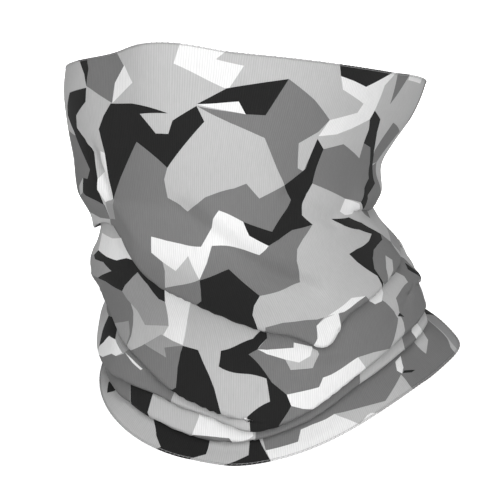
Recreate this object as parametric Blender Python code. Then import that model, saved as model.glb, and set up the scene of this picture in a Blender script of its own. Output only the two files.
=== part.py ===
"""Neck gaiter: a printed stretch-knit tube as worn, from the bridge of the nose
to the base of the neck. Metres, +Z up, the wearer faces -Y and their left is +X.
z = 0 is the lowest point of the hem, at the front."""

import bmesh
import bpy
import math

# ---- driving dimensions -------------------------------------------------------
WALL = 0.0012            # knit with its curled loft
GAP = 0.0003             # air between a thread row and the knit it lies on
THREAD_R = 0.0008        # radius of an edge's thread row
SEAM_WIDTH = 0.0050      # closing seam at the centre back
SEAM_DEPTH = 0.0008
SEAM_END = 0.0030        # the seam row stops this far inside each edge
AROUND = 48              # points round the tube
ROUNDNESS = 2.3          # 2 is an ellipse, more is squarer

NOSE_OUT = 0.010         # how far the nose lifts the cloth
NOSE_UP = 0.005          # how far it lifts the top edge
NOSE_WIDTH = 0.20        # radians either side of the front
SHOULDER_OUT = 0.013     # flare of the hem over the left shoulder
SHOULDER_AT = 1.95       # radians from the front, towards the wearer's left
LEAN_TOP = 0.17          # the levels dip this many radians left of the front
LEAN_HEM = 0.24

# Levels from the top edge to the hem:
# height at the front, height at the back, half width to the left, half width to
# the right, front reach, back reach.
LEVELS = (
    (0.205, 0.176, 0.084, 0.0865, 0.095, 0.105),
    (0.192, 0.169, 0.082, 0.0865, 0.097, 0.101),
    (0.178, 0.161, 0.079, 0.0835, 0.099, 0.093),
    (0.162, 0.152, 0.0745, 0.0785, 0.1, 0.078),
    (0.146, 0.144, 0.071, 0.072, 0.1, 0.065),
    (0.13, 0.136, 0.069, 0.0665, 0.098, 0.057),
    (0.114, 0.129, 0.067, 0.0625, 0.095, 0.057),
    (0.099, 0.122, 0.0675, 0.0675, 0.09, 0.067),
    (0.084, 0.115, 0.07, 0.075, 0.081, 0.081),
    (0.07, 0.109, 0.074, 0.073, 0.072, 0.092),
    (0.056, 0.103, 0.0775, 0.073, 0.066, 0.098),
    (0.042, 0.097, 0.079, 0.075, 0.065, 0.101),
    (0.028, 0.09, 0.0805, 0.0765, 0.067, 0.102),
    (0.014, 0.084, 0.0815, 0.0755, 0.07, 0.103),
    (0.0, 0.078, 0.083, 0.076, 0.074, 0.104),
)
RINGS = 29               # rings made from the levels


def blend(values, t):
    """Smooth curve through evenly spaced values, t from 0 to 1."""
    x = t * (len(values) - 1)
    i = min(int(x), len(values) - 2)
    f = x - i
    p0 = values[max(i - 1, 0)]
    p1 = values[i]
    p2 = values[i + 1]
    p3 = values[min(i + 2, len(values) - 1)]
    a = 2 * p1
    b = p2 - p0
    c = 2 * p0 - 5 * p1 + 4 * p2 - p3
    d = 3 * p1 - p0 - 3 * p2 + p3
    return 0.5 * (a + f * (b + f * (c + f * d)))


def power(value, exponent):
    return math.copysign(abs(value) ** exponent, value)


def bell(x, width):
    return math.exp(-((x / width) ** 2))


def turn(angle):
    """Angle folded into -pi..pi."""
    return (angle + math.pi) % (2 * math.pi) - math.pi


def surface(angle, t, out=0.0):
    """Point on the worn tube: angle from the front towards the wearer's left,
    t from the top edge (0) to the hem (1), out = offset along the section."""
    z_front = blend([row[0] for row in LEVELS], t)
    z_back = blend([row[1] for row in LEVELS], t)
    side = 2 if math.sin(angle) > 0 else 3
    half = blend([row[side] for row in LEVELS], t)
    front = blend([row[4] for row in LEVELS], t)
    back = blend([row[5] for row in LEVELS], t)
    lean = LEAN_TOP + (LEAN_HEM - LEAN_TOP) * t * t
    rise = ((1 - math.cos(angle - lean)) / 2) ** 0.8
    z = z_front + (z_back - z_front) * rise
    middle = (back - front) / 2
    depth = (back + front) / 2
    nose = bell(turn(angle), NOSE_WIDTH) * bell(t, 0.22)
    flare = bell(turn(angle - SHOULDER_AT), 0.55) * max(0.0, (t - 0.72) / 0.28) ** 1.5
    grow = out + NOSE_OUT * nose + SHOULDER_OUT * flare
    x = (half + grow) * power(math.sin(angle), 2 / ROUNDNESS)
    y = middle - (depth + grow) * power(math.cos(angle), 2 / ROUNDNESS)
    z += NOSE_UP * bell(turn(angle), 0.22) * bell(t, 0.15)
    return (x, y, z)


def lift(angle, t, out, up):
    """Surface point moved up or down, for what lies beyond an edge."""
    x, y, z = surface(angle, t, out)
    return (x, y, z + up)


def material(name, colour, roughness):
    mat = bpy.data.materials.new(name)
    mat.use_nodes = True
    shader = mat.node_tree.nodes["Principled BSDF"]
    shader.inputs["Base Color"].default_value = (*colour, 1.0)
    shader.inputs["Roughness"].default_value = roughness
    return mat


def build(name, points, faces, mat):
    mesh = bpy.data.meshes.new(name)
    mesh.from_pydata(points, [], faces)
    mesh.validate()
    mesh.update()
    ob = bpy.data.objects.new(name, mesh)
    mesh.materials.append(mat)
    bpy.context.scene.collection.objects.link(ob)
    return ob


def swept_loop(name, section_at, around, sides, mat):
    """Closed ring with a small closed section, like an edge's thread row."""
    points = []
    for i in range(around):
        points.extend(section_at(2 * math.pi * i / around))
    faces = []
    for i in range(around):
        j = (i + 1) % around
        for k in range(sides):
            m = (k + 1) % sides
            faces.append((i * sides + k, j * sides + k, j * sides + m, i * sides + m))
    return build(name, points, faces, mat)


def fabric_tube(mat):
    """The knit tube: outer skin, inner skin and a band closing each edge."""
    points = []
    for ring in range(RINGS):
        for i in range(AROUND):
            points.append(surface(2 * math.pi * i / AROUND, ring / (RINGS - 1), 0.0))
    inner = len(points)
    for ring in range(RINGS):
        for i in range(AROUND):
            points.append(surface(2 * math.pi * i / AROUND, ring / (RINGS - 1), -WALL))
    faces = []
    for ring in range(RINGS - 1):
        for i in range(AROUND):
            j = (i + 1) % AROUND
            a = ring * AROUND
            b = a + AROUND
            faces.append((a + i, b + i, b + j, a + j))
            faces.append((inner + a + j, inner + b + j, inner + b + i, inner + a + i))
    last = (RINGS - 1) * AROUND
    for i in range(AROUND):
        j = (i + 1) % AROUND
        faces.append((i, j, inner + j, inner + i))
        faces.append((last + j, last + i, inner + last + i, inner + last + j))
    return build("fabric_tube", points, faces, mat)


def edge_thread(name, t, sign, mat):
    """Thread row capping an edge: sign is 1 for the top edge, -1 for the hem."""
    sides = 8

    def section(angle):
        row = []
        for k in range(sides):
            a = 2 * math.pi * (k + 0.5) / sides * sign
            out = -WALL / 2 + THREAD_R * math.cos(a)
            up = sign * (GAP + THREAD_R) + THREAD_R * math.sin(a)
            row.append(lift(angle, t, out, up))
        return row

    return swept_loop(name, section, AROUND, sides, mat)


def back_seam(mat):
    """Flat thread row down the centre back, lying on the outer skin."""
    length = LEVELS[0][1] - LEVELS[-1][1]
    first = SEAM_END / length
    last = 1 - SEAM_END / length
    rings = RINGS
    points = []
    for ring in range(rings):
        t = first + (last - first) * ring / (rings - 1)
        x, y, z = surface(math.pi, t, 0.0)
        side = SEAM_WIDTH / 2
        base = y + GAP + 0.00015
        points.append((-side, base, z))
        points.append((side, base, z))
        points.append((side, base + SEAM_DEPTH, z))
        points.append((-side, base + SEAM_DEPTH, z))
    faces = [(0, 1, 2, 3)]
    for ring in range(rings - 1):
        a = ring * 4
        for k in range(4):
            m = (k + 1) % 4
            faces.append((a + k, a + 4 + k, a + 4 + m, a + m))
    a = (rings - 1) * 4
    faces.append((a + 3, a + 2, a + 1, a))
    return build("back_seam_flatlock", points, faces, mat)


def outward(ob):
    """Point the faces outward from the closed body."""
    bm = bmesh.new()
    bm.from_mesh(ob.data)
    bmesh.ops.recalc_face_normals(bm, faces=bm.faces)
    bm.to_mesh(ob.data)
    bm.free()


def main():
    for ob in list(bpy.data.objects):
        bpy.data.objects.remove(ob, do_unlink=True)
    knit = material("printed_knit", (0.30, 0.30, 0.30), 0.9)
    top = material("top_edge_thread", (0.42, 0.42, 0.42), 0.8)
    hem = material("bottom_edge_thread", (0.42, 0.42, 0.42), 0.8)
    seam = material("back_seam_thread", (0.50, 0.50, 0.50), 0.8)
    parts = (
        fabric_tube(knit),
        edge_thread("top_edge_overlock", 0.0, 1, top),
        edge_thread("bottom_edge_overlock", 1.0, -1, hem),
        back_seam(seam),
    )
    for ob in parts:
        outward(ob)


main()
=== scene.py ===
"""Neck gaiter as worn: a printed stretch-knit tube with its edge and seam threads.
Metres, +Z up, the wearer faces -Y and their left is +X."""

import math

import bmesh
import bpy
import numpy as np
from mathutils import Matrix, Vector
from mathutils import geometry


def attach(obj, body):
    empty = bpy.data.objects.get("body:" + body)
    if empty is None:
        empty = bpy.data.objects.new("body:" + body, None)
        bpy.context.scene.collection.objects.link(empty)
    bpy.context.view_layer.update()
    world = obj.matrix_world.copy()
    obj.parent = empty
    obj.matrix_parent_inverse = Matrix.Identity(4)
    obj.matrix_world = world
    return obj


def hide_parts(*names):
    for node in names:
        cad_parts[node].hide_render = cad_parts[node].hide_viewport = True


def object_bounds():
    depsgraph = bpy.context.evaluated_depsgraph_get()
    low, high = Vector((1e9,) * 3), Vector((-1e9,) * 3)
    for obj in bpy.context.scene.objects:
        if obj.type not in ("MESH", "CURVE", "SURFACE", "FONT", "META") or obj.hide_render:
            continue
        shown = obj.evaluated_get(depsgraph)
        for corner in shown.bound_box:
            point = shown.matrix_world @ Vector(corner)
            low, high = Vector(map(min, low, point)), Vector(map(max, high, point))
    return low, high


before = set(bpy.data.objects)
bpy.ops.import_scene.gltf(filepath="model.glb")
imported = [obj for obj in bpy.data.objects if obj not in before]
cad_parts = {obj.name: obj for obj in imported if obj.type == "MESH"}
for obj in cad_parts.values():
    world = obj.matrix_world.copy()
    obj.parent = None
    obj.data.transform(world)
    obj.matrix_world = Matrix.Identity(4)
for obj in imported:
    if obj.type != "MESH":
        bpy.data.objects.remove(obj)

bl_info = {
    "name": "Neck gaiter",
    "version": (1, 0, 0),
    "blender": (4, 5, 0),
    "location": "3D View > Sidebar > Gaiter",
    "description": "Builds a worn neck gaiter of printed knit and its studio",
    "category": "Object",
}

CAD_BOUNDS = [list(map(float, corner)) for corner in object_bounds()]
MM = 0.001
TAU = 2 * math.pi

# Cut panel of the tube, laid flat, in millimetres.
FLAT_ROUND = 500.0
FLAT_LENGTH = 380.0

# ---- the body of the worn tube -------------------------------------------------
# Levels from the top edge to the hem, in millimetres: height at the front,
# height at the back, half width to the left, half width to the right, front
# reach, back reach.
LEVELS = (
    (205, 176, 84, 86.5, 95, 105),
    (192, 169, 82, 86.5, 97, 101),
    (178, 161, 79, 83.5, 99, 93),
    (162, 152, 74.5, 78.5, 100, 78),
    (146, 144, 71, 72.5, 100, 65),
    (130, 136, 69, 68.5, 98, 57),
    (114, 129, 67, 64, 95, 57),
    (99, 122, 67.5, 67.5, 90, 67),
    (84, 115, 70, 75, 81, 81),
    (70, 109, 74, 73, 72, 92),
    (56, 103, 77.5, 73, 66, 98),
    (42, 97, 79, 75, 65, 101),
    (28, 90, 80.5, 76.5, 66.5, 102),
    (14, 84, 81.5, 75.5, 68.5, 103),
    (0, 78, 83, 76, 71, 104),
)
ROUNDNESS = 2.3          # 2 is an ellipse, more is squarer
BACK_RISE = 0.8          # below 1 the levels rise sooner on their way to the back
NOSE_OUT = 10.0          # how far the nose lifts the cloth
NOSE_WIDTH = 0.20        # radians either side of the front
NOSE_DOWN = 0.22         # share of the tube that the nose's lift dies away over
NOSE_UP = 5.0            # how far the nose raises the top edge
NOSE_UP_WIDTH = 0.22
NOSE_UP_DOWN = 0.15
SHOULDER_OUT = 13.0      # flare of the hem over the left shoulder
SHOULDER_AT = 1.95       # radians from the front, towards the wearer's left
SHOULDER_WIDTH = 0.55
SHOULDER_FROM = 0.72     # share of the tube where the flare starts
CORNER_OUT = 3.0         # the hem's corner over the shoulder
CORNER_WIDTH = 0.15
LEAN = (0.17, 0.24)      # the levels dip this many radians left of the front: top, hem

# ---- folds ----------------------------------------------------------------------
# Each fold: (angle, height of its lower edge) round the tube, (angle, strength),
# (angle, reach beyond the body), and how far the cloth tucks up behind it.
# Angles are degrees from the front towards the wearer's left.
FOLDS = (
    # nape
    dict(
        height=((-180, 129), (-105, 127), (-60, 132), (0, 130), (60, 122), (88, 124), (105, 122),
            (125, 125)),
        strength=((-180, 1), (-135, 1), (-115, 0), (88, 0), (108, 1)),
        reach=((-180, 2), (0, 0)),
        tuck=9,
    ),
    # chin and jaw
    dict(
        height=((-180, 114), (-120, 112), (-60, 113), (-35, 119), (-25, 118), (-18, 109),
            (-10, 97), (-2, 86), (10, 76), (20, 69), (30, 64), (36, 65), (42, 58), (47, 55),
            (51, 57), (55, 67), (60, 73), (75, 80), (90, 89), (105, 97), (125, 103)),
        strength=((-180, 1), (0, 1)),
        reach=((-180, 1), (-90, 0), (-60, 0), (-35, 2), (-20, 5), (0, 7), (30, 6), (50, 4),
            (62, 4), (105, 3)),
        tuck=13,
    ),
    # behind the neck
    dict(
        height=((-180, 103), (-115, 92), (-60, 92), (-30, 90), (0, 70), (30, 52), (60, 55),
            (95, 78), (115, 86), (125, 89)),
        strength=((-180, 1), (-110, 1), (-92, 0), (94, 0), (110, 1)),
        reach=((-180, 1), (-100, 0), (0, 2), (100, 0)),
        tuck=8,
    ),
    # right side of the neck
    dict(
        height=((-180, 98), (-100, 88), (-60, 83), (-45, 76), (-38, 67), (-33, 59), (-21, 50),
            (-8, 37), (5, 26), (16, 21), (25, 20), (60, 45), (90, 66), (120, 80)),
        strength=((-180, 0), (-85, 0), (-65, 1), (8, 1), (22, 0)),
        reach=((-180, 0), (-60, 2), (0, 3), (30, 3), (60, 0)),
        tuck=11,
    ),
    # upper hem fold
    dict(
        height=((-180, 93), (-120, 70), (-60, 51), (-42, 42), (-28, 37), (-12, 32), (-6, 28),
            (8, 21), (16, 16), (24, 16), (40, 25), (62, 42), (90, 60), (115, 74), (125, 78)),
        strength=((-180, 1), (0, 1)),
        reach=((-180, 1), (-60, 2), (0, 3), (60, 3), (120, 2)),
        tuck=11,
    ),
    # lower hem fold
    dict(
        height=((-180, 86), (-120, 62), (-60, 41), (-40, 32), (-29, 27), (-15, 19), (-9, 17),
            (0, 12), (7, 10), (14, 10), (22, 12), (28, 14), (44, 22), (64, 36), (90, 51),
            (105, 60), (125, 70)),
        strength=((-180, 1), (0, 1)),
        reach=((-180, -1), (0, 0), (60, -1)),
        tuck=10,
    ),
)
LAYER_STEP = 3.9         # how far in the cloth comes out under a fold
FOLD_SOFTEN = 5.0        # degrees over which a fold's values run into each other
OUT_GAIN = 0.3           # how fast the cloth may swell out between two folds
OUT_LIMIT = 9            # and how far
FACE_SHARES = (0.2, 0.4, 0.6, 0.8)   # points of the smooth face above the first fold
FACE_END = 14            # the face ends this far above the first fold's edge
HEM_RUN = ((0.4, 0.8), (0.75, 0.3), (1.0, 0.0))   # way to the hem, share of the reach kept
PATH_STEPS = 8           # smoothing steps between two points of the cloth's path
HEIGHT_STEPS = 500       # heights looked up down one column
GIRTH_AT = 0.4           # the level whose girth spaces the columns
GRID_COLUMNS = 441
GRID_ROWS = 420

# Soft creases: on the face (0) or the neck (1), path of (angle, height), depth
# (negative is a groove), width. They fade out towards their part's folds.
MM_PER_DEGREE = 1.4      # round the tube
FACE_FADE = 0.05         # shares of the cloth's length
NECK_FADE = 0.03
CREASES = (
    (0, ((5, 128), (22, 112), (38, 96), (52, 88)), -2.6, 5.0),
    (0, ((14, 130), (30, 117), (46, 104)), 1.2, 5.0),
    (0, ((50, 136), (62, 127), (76, 120)), -2.0, 4.0),
    (0, ((-31, 154), (-28, 142), (-26, 134)), -3.5, 3.5),
    (0, ((-75, 145), (-60, 134), (-45, 130)), 2.0, 12.0),
    (1, ((-85, 100), (-50, 97)), 4.0, 7.0),
    (1, ((-85, 82), (-55, 80)), -2.5, 5.0),
    (1, ((52, 62), (70, 66), (90, 74)), -1.8, 5.0),
    (1, ((30, 60), (44, 52), (60, 50)), -1.4, 4.0),
    (1, ((95, 90), (110, 84)), 2.0, 6.0),
    (1, ((20, 52), (34, 46), (48, 50)), -2.5, 7.0),
    (0, ((92, 130), (110, 131), (135, 132)), 3.5, 7.0),
    (1, ((98, 107), (115, 105), (135, 104)), -5.0, 7.0),
    (1, ((100, 75), (115, 73), (130, 71)), 3.0, 9.0),
)


def power(value, exponent):
    """Power that keeps the sign."""
    return np.sign(value) * np.abs(value) ** exponent


def spline(values, x):
    """Catmull-Rom curve through evenly spaced values at positions x, 0 to 1."""
    values = np.asarray(values, float)
    x = np.clip(x, 0, 1) * (len(values) - 1)
    i = np.minimum(x.astype(int), len(values) - 2)
    f = x - i
    p0 = values[np.maximum(i - 1, 0)]
    p1 = values[i]
    p2 = values[i + 1]
    p3 = values[np.minimum(i + 2, len(values) - 1)]
    curve = 2 * p1 + f * (
        (p2 - p0) + f * ((2 * p0 - 5 * p1 + 4 * p2 - p3) + f * (3 * p1 - p0 - 3 * p2 + p3))
    )
    return curve / 2


def guided(values, x):
    """Curve through the rows of values that never overshoots them; x is 0 to 1."""
    x = np.clip(x, 0, 1) * (len(values) - 1)
    i = np.minimum(x.astype(int), len(values) - 2)
    f = (x - i)[:, None]
    rise = np.diff(values, axis=0)
    before = np.concatenate([rise[:1], rise])
    after = np.concatenate([rise, rise[-1:]])
    product = before * after
    total = np.where(np.abs(before + after) < 1e-9, 1.0, before + after)
    slope = np.where(product > 0, 2 * product / total, 0.0)
    p0, p1, m0, m1 = values[i], values[i + 1], slope[i], slope[i + 1]
    return (
        p0 * (1 + 2 * f) * (1 - f) ** 2 + m0 * f * (1 - f) ** 2
        + p1 * f * f * (3 - 2 * f) + m1 * f * f * (f - 1)
    )


def turned(angle):
    """The angle brought within half a turn of the front."""
    return (angle + math.pi) % TAU - math.pi


def bell(x, width):
    """Smooth hump, 1 at 0."""
    return np.exp(-((x / width) ** 2))


def body_height(angle, t):
    """Height of the tube's level t, 0 at the top edge and 1 at the hem."""
    z_front = spline([row[0] for row in LEVELS], t)
    z_back = spline([row[1] for row in LEVELS], t)
    lean = LEAN[0] + (LEAN[1] - LEAN[0]) * t * t
    rise = ((1 - np.cos(angle - lean)) / 2) ** BACK_RISE
    lift = NOSE_UP * bell(turned(angle), NOSE_UP_WIDTH) * bell(t, NOSE_UP_DOWN)
    return z_front + (z_back - z_front) * rise + lift


def body_point(angle, t, out):
    """Points of the worn tube in millimetres, out from its plain body."""
    left = spline([row[2] for row in LEVELS], t)
    right = spline([row[3] for row in LEVELS], t)
    half = np.where(np.sin(angle) > 0, left, right)
    front = spline([row[4] for row in LEVELS], t)
    back = spline([row[5] for row in LEVELS], t)
    middle = (back - front) / 2
    depth = (back + front) / 2
    nose = bell(turned(angle), NOSE_WIDTH) * bell(t, NOSE_DOWN)
    from_shoulder = turned(angle - SHOULDER_AT)
    low = np.maximum(0, (t - SHOULDER_FROM) / (1 - SHOULDER_FROM))
    flare = bell(from_shoulder, SHOULDER_WIDTH) * low ** 1.5
    corner = bell(from_shoulder, CORNER_WIDTH) * low ** 2
    grow = out + NOSE_OUT * nose + SHOULDER_OUT * flare + CORNER_OUT * corner
    x = (half + grow) * power(np.sin(angle), 2 / ROUNDNESS)
    y = middle - (depth + grow) * power(np.cos(angle), 2 / ROUNDNESS)
    return np.stack([x, y, body_height(angle, t)], axis=-1)


def round_table(pairs, degrees):
    """Values given at a few angles, smoothly joined all the way round."""
    angles = [p[0] for p in pairs]
    values = [p[1] for p in pairs]
    fine = np.arange(-180, 180, 0.5)
    curve = np.interp(fine, angles + [angles[0] + 360], values + [values[0]])
    wing = 24
    weight = bell(np.arange(-wing, wing + 1) * 0.5, FOLD_SOFTEN)
    weight /= weight.sum()
    padded = np.concatenate([curve[-wing:], curve, curve[:wing]])
    smooth = np.convolve(padded, weight, "valid")
    return np.interp((degrees + 180) % 360 - 180, fine, smooth, period=360)


def column_angles(count):
    """Angles of evenly spaced cloth columns: 0 and 1 are both the centre back."""
    fine = np.linspace(-math.pi, math.pi, 2001)
    ring = body_point(fine, np.full_like(fine, GIRTH_AT), 0.0)
    steps = np.linalg.norm(np.diff(ring, axis=0), axis=1)
    along = np.concatenate([[0], np.cumsum(steps)])
    return np.interp(np.linspace(0, along[-1], count), along, fine)


def tuck_path(tuck):
    """Cloth's way round a fold's lower edge, up behind it and down again:
    height above the edge, share of the step inwards."""
    return (
        (2.4, 0.0), (0.6, 0.12), (0.0, 0.25), (0.6, 0.38),
        (tuck * 0.5, 0.5), (tuck - 0.6, 0.62), (tuck, 0.75), (tuck - 0.6, 0.88),
        (tuck * 0.5, 0.95), (1.0, 1.0),
    )


def cloth_path(degrees, heights):
    """Height and outward offset of the cloth's path at every column, from the top edge
    to the hem, and the path's points where the face ends and the neck starts and ends."""
    tables = []
    for fold in FOLDS:
        tables.append((
            round_table(fold["height"], degrees),
            np.clip(round_table(fold["strength"], degrees), 0, 1),
            round_table(fold["reach"], degrees),
            fold["tuck"],
        ))
    top = heights[:, 0]
    first = tables[0][0]
    path_z = [top]
    path_out = [np.zeros_like(top)]
    for share in FACE_SHARES:
        path_z.append(top + (first + FACE_END - top) * share)
        path_out.append(np.zeros_like(top))
    starts = []
    for height, s, reach, tuck in tables:
        starts.append(len(path_z))
        w = LAYER_STEP * s
        room = path_z[-1] - height - tuck * s
        out = np.minimum(reach, path_out[-1] + np.clip(room * OUT_GAIN, 0, OUT_LIMIT))
        path_z.append(np.minimum(height + (tuck + 3) * s + 0.1, path_z[-1]))
        path_out.append(np.where(room > 0, out, path_out[-1]))
        for dz, inward in tuck_path(tuck):
            path_z.append(height + dz * s)
            path_out.append(out - inward * w)
    hem = heights[:, -1]
    last = path_z[-1]
    leave = path_out[-1]
    for share, keep in HEM_RUN:
        path_z.append(last + (hem - last) * share)
        path_out.append(leave * keep)
    chin, neck, upper_hem = starts[1], starts[2], starts[4]
    return path_z, np.array(path_out), np.array([chin + 2, neck, upper_hem])


def worn_grid():
    """The worn cloth as a grid of points, rows from the top edge to the hem."""
    angles = column_angles(GRID_COLUMNS)
    degrees = np.degrees(angles)
    levels = np.linspace(0, 1, HEIGHT_STEPS)
    heights = np.array([body_height(np.full_like(levels, a), levels) for a in angles])

    def level_at(height):
        return np.array([
            np.interp(-h, -column, levels) for h, column in zip(height, heights)
        ])

    path_z, path_out, parts = cloth_path(degrees, heights)
    path_t = np.array([level_at(z) for z in path_z])
    path_t[-1] = 1.0
    path_t[0] = 0.0
    steps = np.linspace(0, 1, (len(path_t) - 1) * PATH_STEPS + 1)
    fine_t = guided(path_t, steps).T
    fine_out = guided(path_out, steps).T
    fine_angle = np.repeat(angles[:, None], len(steps), axis=1)
    lines = body_point(fine_angle, np.clip(fine_t, 0, 1), fine_out)
    marks = parts * PATH_STEPS
    limits = np.empty((3, GRID_COLUMNS))
    worn = np.empty((GRID_ROWS, GRID_COLUMNS, 3))
    share = np.linspace(0, 1, GRID_ROWS)
    for c in range(GRID_COLUMNS):
        length = np.linalg.norm(np.diff(lines[c], axis=0), axis=1)
        along = np.concatenate([[0], np.cumsum(length)])
        for k in range(3):
            worn[:, c, k] = np.interp(share * along[-1], along, lines[c][:, k])
        limits[:, c] = along[marks] / along[-1]
    worn = creased(worn, degrees, share, limits)
    seam = (worn[:, 0] + worn[:, -1]) / 2
    worn[:, 0] = seam
    worn[:, -1] = seam
    return worn


def grid_normals(worn):
    """Unit normals of a worn grid, the same way out everywhere."""
    along = np.gradient(worn, axis=0)
    wrapped = np.concatenate([worn[:, -2:-1], worn, worn[:, 1:2]], axis=1)
    around = (wrapped[:, 2:] - wrapped[:, :-2]) / 2
    normal = np.cross(along, around)
    normal /= np.maximum(np.linalg.norm(normal, axis=2, keepdims=True), 1e-9)
    return normal


def creased(worn, degrees, share, limits):
    """Soft creases pushed out of or into the cloth of the face and the neck."""
    z = worn[..., 2]
    angle = np.repeat(degrees[None, :], worn.shape[0], axis=0)
    push = np.zeros_like(z)
    down = share[:, None]
    face_end, neck_start, neck_end = limits
    layers = (
        np.clip((face_end - 0.01 - down) / FACE_FADE, 0, 1),
        np.clip((down - neck_start) / NECK_FADE, 0, 1)
        * np.clip((neck_end - down) / NECK_FADE, 0, 1),
    )
    for layer, path, depth, width in CREASES:
        nearest = np.full(z.shape, 1e9)
        for (a0, z0), (a1, z1) in zip(path[:-1], path[1:]):
            dx, dz = (a1 - a0) * MM_PER_DEGREE, z1 - z0
            px, pz = (angle - a0) * MM_PER_DEGREE, z - z0
            f = np.clip((px * dx + pz * dz) / (dx * dx + dz * dz), 0, 1)
            nearest = np.minimum(nearest, np.hypot(px - f * dx, pz - f * dz))
        push += depth * bell(nearest, width) * layers[layer]
    return worn + grid_normals(worn) * push[..., None]


def at_cloth(values, u, v):
    """Value of a cloth grid at cloth shares u (round) and v (down)."""
    rows, columns = values.shape[:2]
    x = np.clip(np.asarray(u, float), 0, 1) * (columns - 1)
    y = np.clip(np.asarray(v, float), 0, 1) * (rows - 1)
    i = np.minimum(x.astype(int), columns - 2)
    j = np.minimum(y.astype(int), rows - 2)
    fx = (x - i)[..., None]
    fy = (y - j)[..., None]
    upper = values[j, i] * (1 - fx) + values[j, i + 1] * fx
    lower = values[j + 1, i] * (1 - fx) + values[j + 1, i + 1] * fx
    return upper * (1 - fy) + lower * fy


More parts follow.
